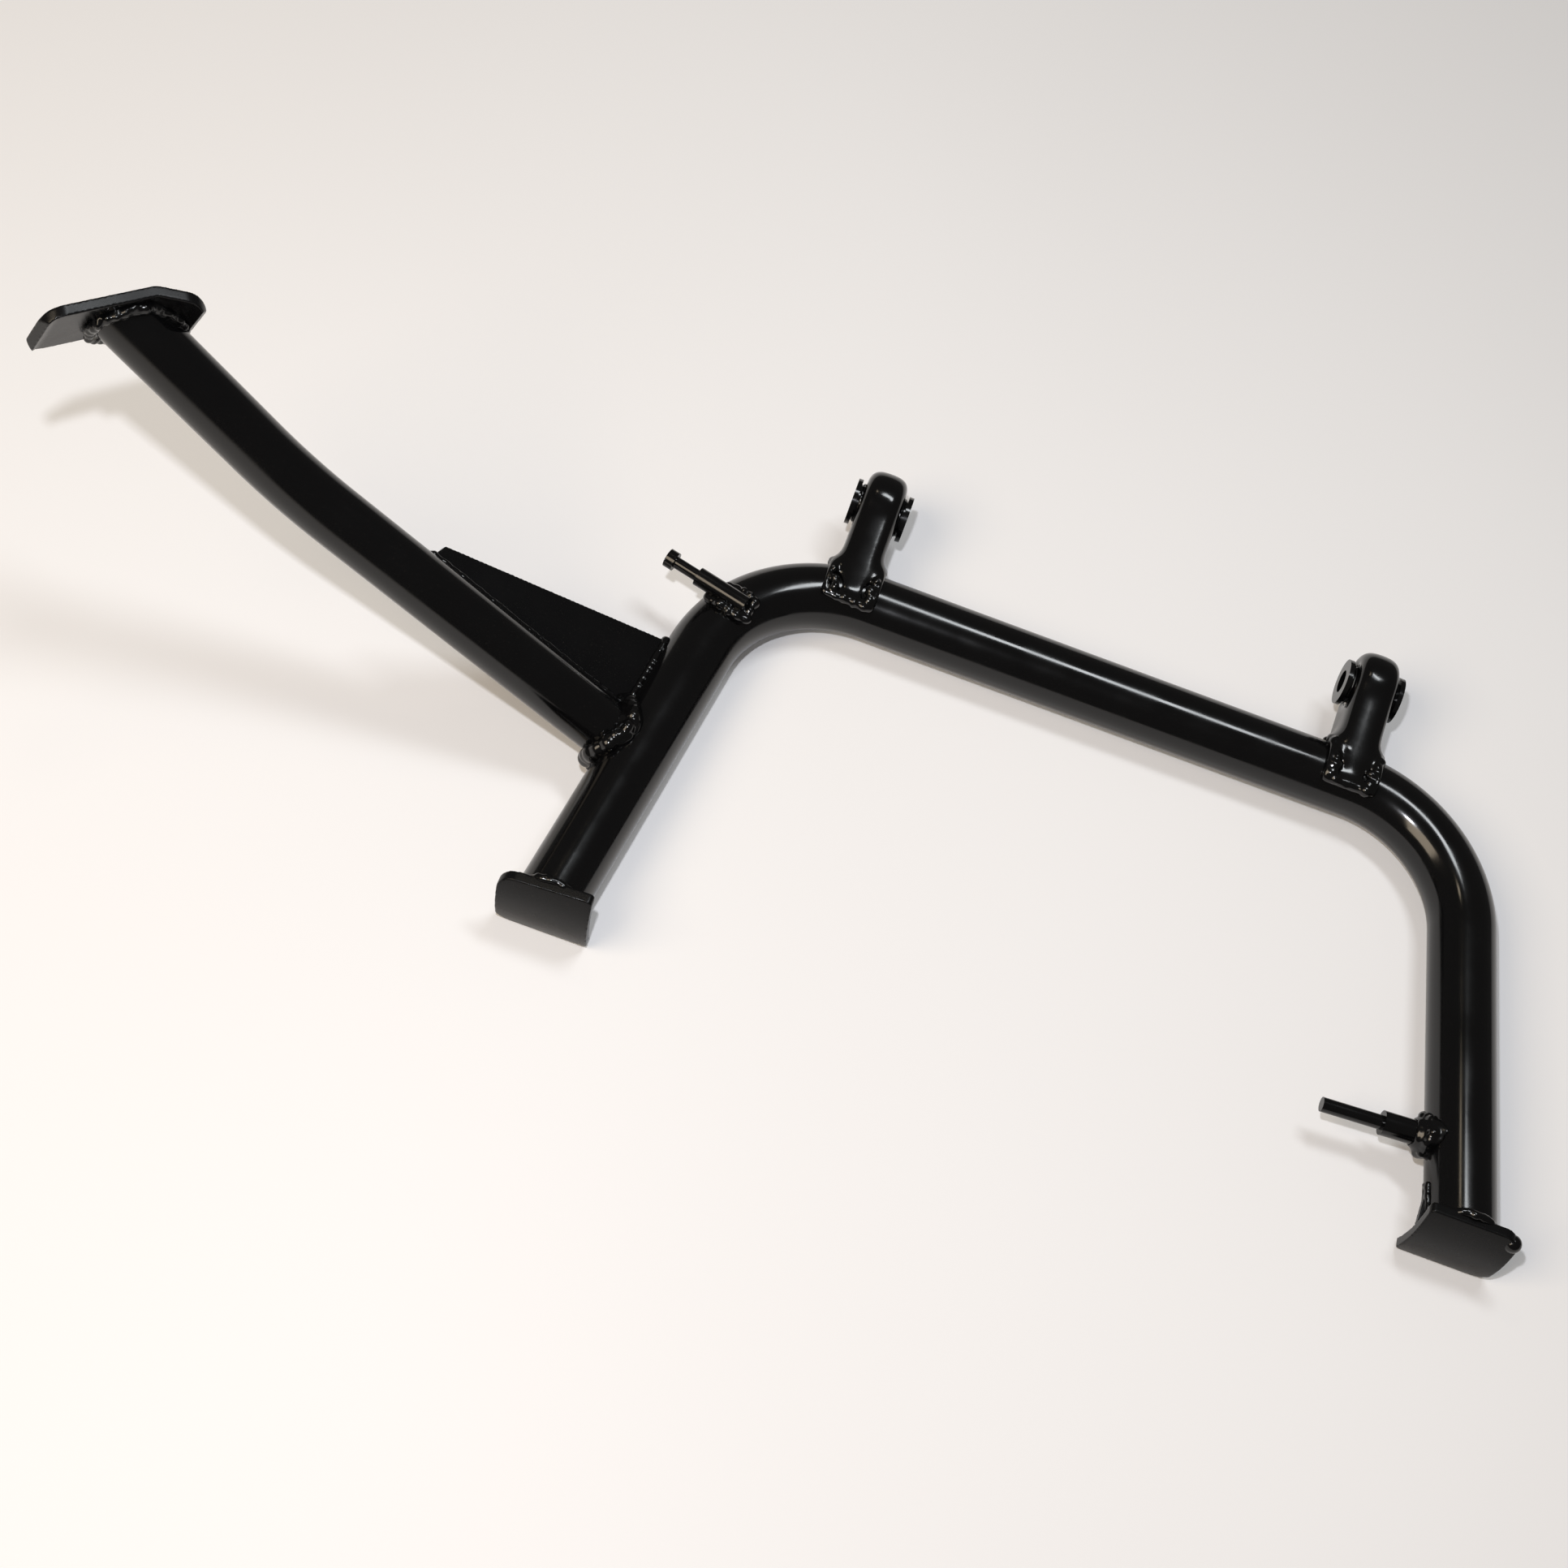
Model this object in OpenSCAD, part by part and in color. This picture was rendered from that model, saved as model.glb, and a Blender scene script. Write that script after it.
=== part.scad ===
// Tubular centre stand for a scooter, lying on its crossbar and feet as it would be laid on a bench.
// The stand is drawn flat in its own plane: x runs along the crossbar, y points from the feet to the
// pivots, z is square to the plane on the side that the foot lever rises to. lay() then tips it until
// the crossbar and the lower edges of the soles share one floor, with the left pivot at the origin.

/* [Main tube] */
// Outside diameter of the bent main tube
tube_od = 28; // [24:1:34]
// Wall of the main tube
tube_wall = 2; // [1.5:0.25:4]
// Distance between the corners where the crossbar and leg centrelines would meet
corner_span = 322; // [290:1:380]
// Outward splay of each leg from square to the crossbar, in degrees
leg_splay = 8; // [2:0.5:14]
// Centreline radius of the two bends
bend_r = 60; // [50:1:70]
// Distance from the crossbar axis to the ground line of the soles
sole_reach = 191; // [165:1:230]

/* [Feet] */
// Width of a sole plate along the crossbar
foot_w = 37.5; // [34:1:50]
// Height of a sole plate before it is curved
foot_h = 34; // [28:1:42]
// Thickness of a sole plate
foot_t = 4; // [2.5:0.5:6]
// Outer radius that each sole plate is curved to
foot_curve_r = 55; // [40:1:90]
// Lean of the left sole plate, its upper edge towards the crossbar, in degrees
left_foot_lean = 0; // [-2:0.5:8]
// Lean of the right sole plate, in degrees
right_foot_lean = 5.5; // [-2:0.5:8]
// Turn of the left sole plate on its leg, its upper edge outward, in degrees
left_foot_turn = 4; // [-6:0.5:6]
// Distance that a sole plate sits outward of its leg
foot_shift = 0; // [0:0.5:4]
// Distance from the leg axis down to the middle of a sole plate
foot_drop = 2.3; // [0:0.1:4]
// Corner radius on the outer side of a sole plate
foot_outer_r = 7; // [3:0.5:12]
// Corner radius on the inner side of a sole plate
foot_inner_r = 2; // [1:0.5:5]
// Thickness of the web inside the right foot
web_t = 3; // [2:0.5:5]
// Height of that web up the leg
web_h = 17; // [12:1:26]

/* [Foot lever] */
// Outside diameter of the foot lever tube
tang_od = 24; // [20:1:27]
// Wall of the foot lever tube
tang_wall = 2; // [1.5:0.25:4]
// Distance down the left leg from its corner to the lever joint
tang_drop = 107; // [95:1:120]
// Offset of the lever axis below the leg axis at the joint
tang_sink = 5; // [0:0.5:7]
// Sweep of the lever towards the crossbar from square to the middle plane, in degrees
tang_sweep = 2.6; // [-3:0.1:6]
// Rise of the lower run of the lever out of the plane of the stand, in degrees
tang_rise = 29.3; // [24:0.1:34]
// Length of the lower run
tang_run = 155; // [140:1:190]
// Centreline radius of the bend in the lever
tang_bend_r = 210; // [120:5:320]
// Angle of that bend, in degrees
tang_bend = 11; // [6:0.5:16]
// Length of the upper run to the underside of the tread
tang_tip_run = 65.5; // [60:0.5:85]

/* [Tread pad] */
// Width of the tread plate
pad_w = 31; // [26:1:36]
// Thickness of the tread plate
pad_t = 4; // [2.5:0.5:5]
// Straight length of the outer arm of the tread
pad_outer_arm = 35.5; // [30:0.5:42]
// Straight length of the inner arm of the tread
pad_inner_arm = 11; // [9:0.5:20]
// Angle of each arm below the ridge of the tread, in degrees
pad_fold = 12; // [8:0.5:16]
// Outer radius of the ridge between the arms
pad_ridge_r = 8; // [7:0.5:12]
// Outer radius of the turned-down ends
pad_curl_r = 11; // [7:0.5:14]
// Angle that the outer end is turned down, in degrees
pad_outer_curl_angle = 30; // [1:1:60]
// Angle that the inner end is turned down, in degrees
pad_inner_curl_angle = 43; // [1:1:60]
// Corner radius of the tread plate
pad_corner_r = 9; // [4:0.5:11]
// Distance along the outer arm from the ridge to the lever axis
pad_seat = 5; // [4:0.5:8]
// Distance of the tread's middle from the lever axis, across the tread
pad_aside = -3.5; // [-6:0.5:4]
// Lean of the width of the tread from square to the stand, in degrees
pad_lean = 24; // [20:0.5:28]
// Direction of that lean around the stand, in degrees
pad_swing = -20; // [-24:1:-16]
// Spin of the tread about its width, in degrees
pad_spin = 56; // [52:0.5:60]

/* [Gusset] */
// Thickness of the gusset plate
gusset_t = 3; // [2:0.5:5]
// Distance along the lever from its root to the far end of the gusset
gusset_run = 118; // [100:1:140]
// Distance that the far end stands off the lever axis
gusset_tip = 19.5; // [16:0.5:24]
// Slope of the far end back towards the leg
gusset_bevel = 5; // [0:1:15]
// Distance up the leg from the lever joint to the near end of the gusset
gusset_rise = 56; // [48:1:66]

/* [Ears] */
// Distance of the left ear from the middle of the stand
left_ear_x = 118.5; // [100:1:125]
// Distance of the right ear from the middle of the stand
right_ear_x = 106; // [90:1:115]
// Distance from the crossbar axis to the pivot axis
pivot_reach = 42.5; // [38:0.5:60]
// Tilt of the ears out of the plane of the stand, in degrees
ear_tilt = 18; // [5:1:25]
// Width of an ear
ear_w = 18; // [14:0.5:22]
// Sheet thickness of an ear
ear_t = 3; // [2:0.5:4]
// Radius of the round head of an ear
ear_head_r = 16.5; // [14.5:0.5:20]
// Height of the stem's outer face over the line from crossbar to pivot
ear_stem_h = 15.5; // [14.5:0.5:18]
// Depth of the cheeks behind the same line
ear_back = 11; // [8:0.5:13]
// Length of the stem's lap over the crossbar
ear_lap = 4; // [2:0.5:7]
// Radius of the pressed edges
ear_edge_r = 5; // [3:0.5:6]

/* [Pivots] */
// Diameter of the bore for the pivot bolt
pivot_bore = 10; // [8:0.5:12]
// Outside diameter of the sleeve through the cheeks
sleeve_od = 16; // [15:0.5:19]
// Wall of the sleeve
sleeve_wall = 1.5; // [1:0.25:2]
// Distance that the sleeve stands proud of each cheek
sleeve_proud = 1.5; // [1:0.25:4]
// Diameter of the flange on each bush
flange_od = 20; // [18.5:0.5:25]
// Thickness of that flange
flange_t = 2; // [1:0.25:4]

/* [Spring pegs] */
// Diameter of the left peg's body
left_peg_d = 8; // [6:0.5:10]
// Length of that body
left_peg_body = 23.5; // [18:1:28]
// Diameter of the neck that the spring hooks on
left_peg_neck_d = 5; // [4:0.5:6]
// Length of the neck
left_peg_neck = 11; // [6:0.5:14]
// Diameter of the peg's head
left_peg_head_d = 8; // [7:0.5:12]
// Length of the head
left_peg_head = 4; // [2:0.5:6]
// Position of the peg's foot round the left bend, in degrees from square to the leg side
left_peg_at = 29; // [20:1:50]
// Angle of the peg to the crossbar, in degrees
left_peg_yaw = 14.5; // [5:0.5:30]
// Distance of the peg's foot inside the centreline of the bend
left_peg_inset = 5; // [0:0.5:8]
// Depth that the peg is seated into the tube
left_peg_sink = 2; // [1:0.5:3]
// Diameter of the right peg
right_peg_d = 6; // [5:0.5:6.5]
// Diameter of its shank, inside the collar
right_peg_shank_d = 7; // [6.5:0.5:8]
// Length of the right peg beyond its collar
right_peg_out = 25; // [15:1:35]
// Outside diameter of the collar
collar_od = 10; // [9:0.5:12]
// Length of the collar from the surface of the leg
collar_len = 19; // [10:1:25]
// Height of the right peg above the ground line of the soles
right_peg_rise = 43; // [38:1:60]
// Angle of the right peg to the crossbar, in degrees
right_peg_yaw = 3.5; // [-5:0.5:10]

/* [Welds] */
// Leg of the weld round each tube joint
tube_bead = 4; // [3:0.5:6]
// Leg of the weld under the tread
tread_bead = 3; // [2:0.5:4]
// Leg of the weld round each sole plate
foot_bead = 3.5; // [2:0.5:5]
// Leg of the welds round the ears
ear_bead = 4; // [3:0.5:6]
// Leg of the welds on the gusset and the web
plate_bead = 3; // [2:0.5:4]
// Leg of the ring weld round each sleeve
sleeve_bead = 1; // [0.5:0.25:1.25]
// Spread of the weld at the foot of each peg
peg_bead = 7; // [4:0.5:9]
// Thickness of the right peg's weld at its upper end
peg_bead_lip = 0.5; // [0.25:0.25:1.5]

/* [Hidden] */
$fn = 96;

paint = [0.02, 0.02, 0.022];
tube_r = tube_od / 2;
tang_r = tang_od / 2;
corner_x = corner_span / 2;
// The bend turns from square to the crossbar's end to square to the leg
bend_turn = 90 - leg_splay;
bend_setback = bend_r * tan(bend_turn / 2);
bend_x = corner_x - bend_setback;

// Each sole plate is part of a shell about a line along the crossbar, at this height for its lean
foot_axis_y = foot_curve_r - sole_reach;
function foot_axis_z(lean) = -foot_drop - foot_curve_r * sin(lean);
foot_x = corner_x + sole_reach * tan(leg_splay) + foot_shift;
sole_in = foot_curve_r - foot_t;

// Slope, in degrees, of a floor that touches the crossbar and the lower edge of a sole plate
function edge_y(lean) = foot_axis_y - foot_curve_r * cos(foot_half_angle - lean);
function edge_z(lean) = foot_axis_z(lean) - foot_curve_r * sin(foot_half_angle - lean);
function floor_slope(lean) =
    atan2(-edge_z(lean), -edge_y(lean)) - asin(tube_r / norm([edge_y(lean), edge_z(lean)]));
foot_half_angle = asin(foot_h / 2 / foot_curve_r);
lie_tilt = max(floor_slope(left_foot_lean), floor_slope(right_foot_lean));

ear_pitch = [0, pivot_reach * cos(ear_tilt), pivot_reach * sin(ear_tilt)];
sleeve_len = ear_w + 2 * sleeve_proud;
sleeve_id = sleeve_od - 2 * sleeve_wall;
bush_len = sleeve_len / 2 + flange_t;

// Foot lever: both runs lie in one upright plane
joint = [-corner_x - tang_drop * sin(leg_splay), -tang_drop * cos(leg_splay), -tang_sink];
tang_heading = 180 - tang_sweep;

// Direction of the left leg seen along the lever, which sets the roll of the gusset
leg_up = [sin(leg_splay), cos(leg_splay), 0];
lever_x = [cos(tang_rise) * cos(tang_heading), cos(tang_rise) * sin(tang_heading), sin(tang_rise)];
lever_y = [-sin(tang_heading), cos(tang_heading), 0];
lever_z = cross(lever_x, lever_y);
// Tip of the lever's axis, on the underside of the tread
tip_along = tang_run + tang_bend_r * sin(tang_bend) + tang_tip_run * cos(tang_bend);
tip_lift = tang_bend_r * (1 - cos(tang_bend)) + tang_tip_run * sin(tang_bend);
tang_end = joint + tip_along * lever_x + tip_lift * lever_z;

gusset_roll = -atan2(leg_up * lever_z, -leg_up * lever_y);
leg_along = leg_up * lever_x;
leg_across = sqrt(1 - leg_along * leg_along);
right_peg_drop = sole_reach - right_peg_rise;

big = 4 * sole_reach;
// Reach and clearance of the hidden plugs that tie one run of a bar to the next
plug = 1;

// Tips the flat stand to its resting pose, with the middle of the left pivot at the origin
module lay() {
    rotate([-lie_tilt, 0, 0])
        translate([left_ear_x, -ear_pitch[1], -ear_pitch[2]])
            children();
}

// Bar of radius r along the crossbar, with a thinner plug in each end that reaches into the bend
module cross_bar(r) {
    rotate([0, 90, 0]) {
        cylinder(r = r, h = 2 * bend_x, center = true);
        cylinder(r = r - plug, h = 2 * (bend_x + plug), center = true);
    }
}

// Bar of radius r round the right bend
module bend_bar(r) {
    translate([bend_x, -bend_r, 0])
        rotate([0, 0, leg_splay])
            rotate_extrude(angle = bend_turn)
                translate([bend_r, 0])
                    circle(r = r);
}

// Bar of radius r down the right leg, with a plug into the bend
module leg_bar(r) {
    translate([bend_x, -bend_r, 0])
        rotate([0, 0, leg_splay])
            translate([bend_r, 0, 0])
                rotate([90, 0, 0]) {
                    cylinder(r = r, h = sole_reach);
                    translate([0, 0, -plug])
                        cylinder(r = r - plug, h = 2 * plug);
                }
}

module main_run(r) {
    cross_bar(r);
    for (side = [0, 1])
        mirror([side, 0, 0]) {
            bend_bar(r);
            leg_bar(r);
        }
}

// Everything on the ground side of a shell of radius r about the right foot's line
module beyond_sole(r, lean) {
    difference() {
        translate([0, foot_axis_y - big, -big / 2])
            cube([big, big, big]);
        translate([-big, foot_axis_y, foot_axis_z(lean)])
            rotate([0, 90, 0])
                cylinder(r = r, h = 3 * big);
    }
}

module main_tube() {
    color(paint) lay()
        difference() {
            main_run(tube_r);
            main_run(tube_r - tube_wall);
            beyond_sole(sole_in, right_foot_lean);
            mirror([1, 0, 0])
                beyond_sole(sole_in, left_foot_lean);
        }
}

// Half of a rectangle with its two outer corners rounded
module half_outline(w, h, r) {
    translate([0, -h / 2])
        square([w / 2 - r, h]);
    translate([0, r - h / 2])
        square([w / 2, h - 2 * r]);
    for (side = [-1, 1])
        translate([w / 2 - r, side * (h / 2 - r)])
            circle(r = r);
}

module foot_frame(lean) {
    translate([foot_x, foot_axis_y, foot_axis_z(lean)])
        rotate([90 - lean, 0, 0])
            children();
}

module foot_plate(lean, turn) {
    foot_frame(lean)
        intersection() {
            rotate([0, 0, -turn])
                linear_extrude(height = 2 * foot_curve_r)
                    union() {
                        half_outline(foot_w, foot_h, foot_outer_r);
                        mirror([1, 0])
                            half_outline(foot_w, foot_h, foot_inner_r);
                    }
            rotate([0, 90, 0])
                difference() {
                    cylinder(r = foot_curve_r, h = 2 * foot_w, center = true);
                    cylinder(r = sole_in, h = 3 * foot_w, center = true);
                }
        }
}

module left_foot_plate() {
    color(paint) lay()
        mirror([1, 0, 0])
            foot_plate(left_foot_lean, left_foot_turn);
}

module right_foot_plate() {
    color(paint) lay()
        foot_plate(right_foot_lean, 0);
}

// Outline of the web between the inner side of the leg and the sole plate
module web_outline() {
    top_y = -sole_reach + foot_t + web_h;
    polygon([
        [corner_x - top_y * tan(leg_splay) - tube_r / cos(leg_splay), top_y],
        [foot_x, top_y],
        [foot_x, -sole_reach],
        [foot_x - foot_w / 2, -sole_reach + foot_t]
    ]);
}

module web_blank() {
    linear_extrude(height = web_t, center = true)
        web_outline();
}

module right_foot_web() {
    color(paint) lay()
        difference() {
            web_blank();
            leg_bar(tube_r);
            beyond_sole(sole_in, right_foot_lean);
        }
}

// The lever's own frame at the joint, x along the lower run
module lever_frame() {
    translate(joint)
        rotate([0, -tang_rise, tang_heading])
            children();
}

// Frame at the underside of the tread, x along the upper run
module tip_frame() {
    lever_frame()
        translate([tang_run, 0, tang_bend_r])
            rotate([0, -tang_bend, 0])
                translate([tang_tip_run, 0, -tang_bend_r])
                    children();
}

// Bar of radius r along the lower run of the lever
module low_run_bar(r) {
    lever_frame()
        rotate([0, 90, 0]) {
            cylinder(r = r, h = tang_run);
            cylinder(r = r - plug, h = tang_run + plug);
        }
}

// Bar of radius r round the bend in the lever
module lever_bend_bar(r) {
    lever_frame()
        translate([tang_run, 0, tang_bend_r])
            rotate([90, 0, 0])
                rotate([0, 0, -90])
                    rotate_extrude(angle = tang_bend)
                        translate([tang_bend_r, 0])
                            circle(r = r);
}

// Bar of radius r along the upper run of the lever, to past the tread
module tip_run_bar(r) {
    tip_frame()
        translate([-tang_tip_run, 0, 0])
            rotate([0, 90, 0]) {
                cylinder(r = r, h = tang_tip_run + tang_od);
                translate([0, 0, -plug])
                    cylinder(r = r - plug, h = 2 * plug);
            }
}

module lever_bar(r) {
    low_run_bar(r);
    lever_bend_bar(r);
    tip_run_bar(r);
}

// One arm of the tread from the ridge, as a layer between two depths under the top surface
module tread_arm(arm, curl, low, high) {
    layer = low - high;
    translate([0, -pad_ridge_r, -pad_w / 2])
        rotate([0, 0, 90 - pad_fold])
            rotate_extrude(angle = pad_fold)
                translate([pad_ridge_r - low, 0])
                    square([layer, pad_w]);
    translate([0, -pad_ridge_r, -pad_w / 2])
        rotate([0, 0, -pad_fold])
            translate([0, pad_ridge_r - low, 0]) {
                cube([arm, layer, pad_w]);
                translate([arm, low - pad_curl_r, 0])
                    rotate([0, 0, 90 - curl])
                        rotate_extrude(angle = curl)
                            translate([pad_curl_r - low, 0])
                                square([layer, pad_w]);
            }
}

module tread_layer(low, high) {
    tread_arm(pad_inner_arm, pad_inner_curl_angle, low, high);
    mirror([1, 0, 0])
        tread_arm(pad_outer_arm, pad_outer_curl_angle, low, high);
}

// Everything over the undersides of both arms
module over_arms() {
    for (side = [0, 1])
        mirror([side, 0, 0])
            translate([0, -pad_ridge_r, 0])
                rotate([0, 0, -pad_fold])
                    translate([-big / 2, pad_ridge_r - pad_t, -big / 2])
                        cube([big, big, big]);
}

// The tread's frame, with the lever axis meeting the underside of the outer arm
module tread_frame() {
    ridge_in = pad_ridge_r - pad_t;
    seat_x = ridge_in * sin(pad_fold) + pad_seat * cos(pad_fold);
    seat_y = -pad_ridge_r + ridge_in * cos(pad_fold) - pad_seat * sin(pad_fold);
    translate(tang_end)
        rotate([0, pad_lean, pad_swing])
            rotate([0, 0, pad_spin])
                translate([seat_x, -seat_y, -pad_aside])
                    children();
}

module tang_tube() {
    color(paint) lay()
        difference() {
            lever_bar(tang_r);
            lever_bar(tang_r - tang_wall);
            mirror([1, 0, 0])
                leg_bar(tube_r);
            tread_frame()
                over_arms();
        }
}

module tread_pad() {
    reach = pad_outer_arm + pad_inner_arm + 2 * (pad_ridge_r + pad_curl_r);
    out_end = -ridge_span(pad_outer_arm, pad_outer_curl_angle);
    in_end = ridge_span(pad_inner_arm, pad_inner_curl_angle);
    color(paint) lay()
        tread_frame()
            intersection() {
                tread_layer(pad_t, 0);
                translate([(out_end + in_end) / 2, 0, 0])
                    rotate([90, 0, 0])
                        linear_extrude(height = 2 * reach, center = true)
                            for (side = [0, 1])
                                mirror([side, 0])
                                    half_outline(in_end - out_end, pad_w, pad_corner_r);
            }
}

// Distance from the ridge to the far edge of an arm, along the tread
function ridge_span(arm, curl) =
    pad_ridge_r * sin(pad_fold) + arm * cos(pad_fold)
    + pad_curl_r * (sin(pad_fold + curl) - sin(pad_fold));

// Gusset frame, x along the lever and y away from the crossbar, in the plane of the plate
module gusset_frame() {
    lever_frame()
        rotate([gusset_roll, 0, 0])
            children();
}

// Outline of the gusset, its hidden edges inside the two tubes
module gusset_outline() {
    polygon([
        [0, 0],
        [gusset_run, -tang_r / 2],
        [gusset_run - gusset_bevel, -gusset_tip],
        [gusset_rise * leg_along, -gusset_rise * leg_across]
    ]);
}

// Gusset blank, grown by extra on both faces
module gusset_blank(extra) {
    gusset_frame()
        linear_extrude(height = gusset_t + 2 * extra, center = true)
            gusset_outline();
}

// A layer of weld as thick as its leg on each face of a plate of thickness t
module both_faces(t) {
    for (side = [-1, 1])
        translate([0, 0, side * (t + plate_bead) / 2])
            linear_extrude(height = plate_bead, center = true)
                children();
}

module gusset_plate() {
    color(paint) lay()
        difference() {
            gusset_blank(0);
            low_run_bar(tang_r);
            mirror([1, 0, 0])
                leg_bar(tube_r);
            mirror([1, 0, 0])
                bend_bar(tube_r);
        }
}

// An ear's frame at the crossbar axis, y towards the pivot
module ear_frame(x) {
    translate([x, 0, 0])
        rotate([ear_tilt, 0, 0])
            children();
}

module pivot_frame(x) {
    ear_frame(x)
        translate([0, pivot_reach, 0])
            rotate([0, 90, 0])
                children();
}

module cross_and_bends(r) {
    cross_bar(r);
    for (side = [0, 1])
        mirror([side, 0, 0])
            bend_bar(r);
}

// Solid form of an ear, drawn in by inset on every face
module ear_form(inset) {
    w = ear_w - 2 * inset;
    head = ear_head_r - inset;
    top = ear_stem_h - inset;
    edge = ear_edge_r - inset;
    translate([0, pivot_reach, 0])
        rotate([0, 90, 0])
            rotate_extrude()
                half_outline(2 * head, w, edge);
    translate([0, -ear_lap, 0])
        rotate([-90, 0, 0])
            linear_extrude(height = pivot_reach + ear_lap)
                rotate([0, 0, -90])
                    union() {
                        half_outline(2 * top, w, edge);
                        translate([-2 * ear_head_r, -w / 2])
                            square([2 * ear_head_r, w]);
                    }
}

module ear(x) {
    difference() {
        ear_frame(x)
            difference() {
                ear_form(0);
                ear_form(ear_t);
                translate([-ear_w, -big / 2, -ear_back - big])
                    cube([2 * ear_w, big, big]);
            }
        cross_and_bends(tube_r);
        pivot_frame(x)
            cylinder(d = sleeve_od, h = 2 * ear_w, center = true);
    }
}

module left_ear() {
    color(paint) lay()
        ear(-left_ear_x);
}

module right_ear() {
    color(paint) lay()
        ear(right_ear_x);
}

module pivot_sleeve(x) {
    pivot_frame(x)
        difference() {
            cylinder(d = sleeve_od, h = sleeve_len, center = true);
            cylinder(d = sleeve_id, h = 2 * sleeve_len, center = true);
        }
}

module left_pivot_sleeve() {
    color(paint) lay()
        pivot_sleeve(-left_ear_x);
}

module right_pivot_sleeve() {
    color(paint) lay()
        pivot_sleeve(right_ear_x);
}

// Flanged bush pressed into one end of a sleeve, on the side that it names
module bush(x, side) {
    pivot_frame(x)
        rotate([0, 90 - 90 * side, 0])
            difference() {
                union() {
                    cylinder(d = sleeve_id, h = bush_len);
                    translate([0, 0, sleeve_len / 2])
                        cylinder(d = flange_od, h = flange_t);
                }
                translate([0, 0, -bush_len])
                    cylinder(d = pivot_bore, h = 3 * bush_len);
            }
}

module left_outer_bush() {
    color(paint) lay()
        bush(-left_ear_x, -1);
}

module left_inner_bush() {
    color(paint) lay()
        bush(-left_ear_x, 1);
}

module right_inner_bush() {
    color(paint) lay()
        bush(right_ear_x, -1);
}

module right_outer_bush() {
    color(paint) lay()
        bush(right_ear_x, 1);
}

// Frame of the left spring peg at its foot, z along the peg
module left_peg_frame() {
    ring = bend_r - left_peg_inset;
    translate([
        -bend_x - ring * cos(left_peg_at),
        -bend_r + ring * sin(left_peg_at),
        tube_r + left_peg_d / 2 - left_peg_sink
    ])
        rotate([0, -90, -left_peg_yaw])
            children();
}

module left_spring_peg() {
    color(paint) lay()
        difference() {
            left_peg_frame() {
                cylinder(d = left_peg_d, h = left_peg_body);
                cylinder(d = left_peg_neck_d, h = left_peg_body + left_peg_neck);
                translate([0, 0, left_peg_body + left_peg_neck])
                    cylinder(d = left_peg_head_d, h = left_peg_head);
            }
            mirror([1, 0, 0])
                bend_bar(tube_r);
        }
}

// Frame of the right spring peg on the axis of the right leg, z along the peg
module right_peg_frame() {
    translate([corner_x + right_peg_drop * tan(leg_splay), -right_peg_drop, 0])
        rotate([0, -90, right_peg_yaw])
            children();
}

module right_spring_peg() {
    color(paint) lay()
        difference() {
            right_peg_frame() {
                cylinder(d = right_peg_shank_d, h = tube_r + collar_len);
                cylinder(d = right_peg_d, h = tube_r + collar_len + right_peg_out);
            }
            leg_bar(tube_r);
        }
}

module right_peg_collar() {
    color(paint) lay()
        difference() {
            right_peg_frame()
                difference() {
                    cylinder(d = collar_od, h = tube_r + collar_len);
                    cylinder(d = right_peg_shank_d, h = big);
                }
            leg_bar(tube_r);
        }
}

module tang_weld() {
    color(paint) lay()
        difference() {
            intersection() {
                low_run_bar(tang_r + tube_bead);
                mirror([1, 0, 0])
                    leg_bar(tube_r + tube_bead);
            }
            mirror([1, 0, 0])
                leg_bar(tube_r);
            low_run_bar(tang_r);
            gusset_blank(plate_bead);
        }
}

// Ring of weld round the lever under the tread
module tread_weld() {
    color(paint) lay()
        difference() {
            intersection() {
                tip_run_bar(tang_r + tread_bead);
                tread_frame()
                    tread_layer(pad_t + tread_bead, pad_t);
            }
            tip_run_bar(tang_r);
        }
}

// Welds of the gusset along the lever and along the leg, on both faces
module gusset_weld() {
    color(paint) lay()
        difference() {
            intersection() {
                gusset_frame()
                    both_faces(gusset_t)
                        gusset_outline();
                union() {
                    low_run_bar(tang_r + plate_bead);
                    mirror([1, 0, 0])
                        leg_bar(tube_r + plate_bead);
                }
            }
            low_run_bar(tang_r);
            mirror([1, 0, 0])
                leg_bar(tube_r);
            mirror([1, 0, 0])
                bend_bar(tube_r);
        }
}

// Ring of weld between the right leg and its sole plate
module foot_weld(lean) {
    difference() {
        intersection() {
            leg_bar(tube_r + foot_bead);
            foot_frame(lean)
                rotate([0, 90, 0])
                    cylinder(r = sole_in, h = 2 * foot_w, center = true);
            foot_frame(lean)
                linear_extrude(height = 2 * foot_curve_r)
                    square([foot_w - foot_bead, foot_h - foot_bead], center = true);
            beyond_sole(sole_in - foot_bead, lean);
        }
        leg_bar(tube_r);
    }
}

module left_foot_weld() {
    color(paint) lay()
        mirror([1, 0, 0])
            foot_weld(left_foot_lean);
}

module right_foot_weld() {
    color(paint) lay()
        difference() {
            foot_weld(right_foot_lean);
            web_blank();
        }
}

module web_weld() {
    color(paint) lay()
        difference() {
            intersection() {
                both_faces(web_t)
                    web_outline();
                leg_bar(tube_r + plate_bead);
            }
            leg_bar(tube_r);
            beyond_sole(sole_in - foot_bead, right_foot_lean);
        }
}

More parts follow.
